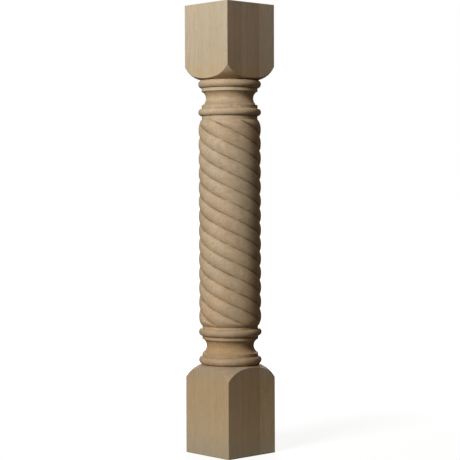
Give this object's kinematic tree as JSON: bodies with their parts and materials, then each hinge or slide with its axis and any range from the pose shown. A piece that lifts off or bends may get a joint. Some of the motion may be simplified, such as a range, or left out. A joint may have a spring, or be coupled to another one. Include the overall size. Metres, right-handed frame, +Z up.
{
  "type": "rope cabinet column",
  "caption": "Square-ended wooden column for a cabinet or island corner, with turned bead and cove mouldings and a shaft carved as a twisted rope",
  "frame": {"origin": "centre of the underside of the lower square block, on the floor", "axes": "+Z up along the column, X and Y square to the faces of the blocks"},
  "size_m": [0.127, 0.127, 0.9017],
  "materials": {
    "wood": "bare sanded pale hardwood, fine straight grain, matt"
  },
  "bodies": {
    "root": {"rope_column": "wood"}
  },
  "joints": []
}
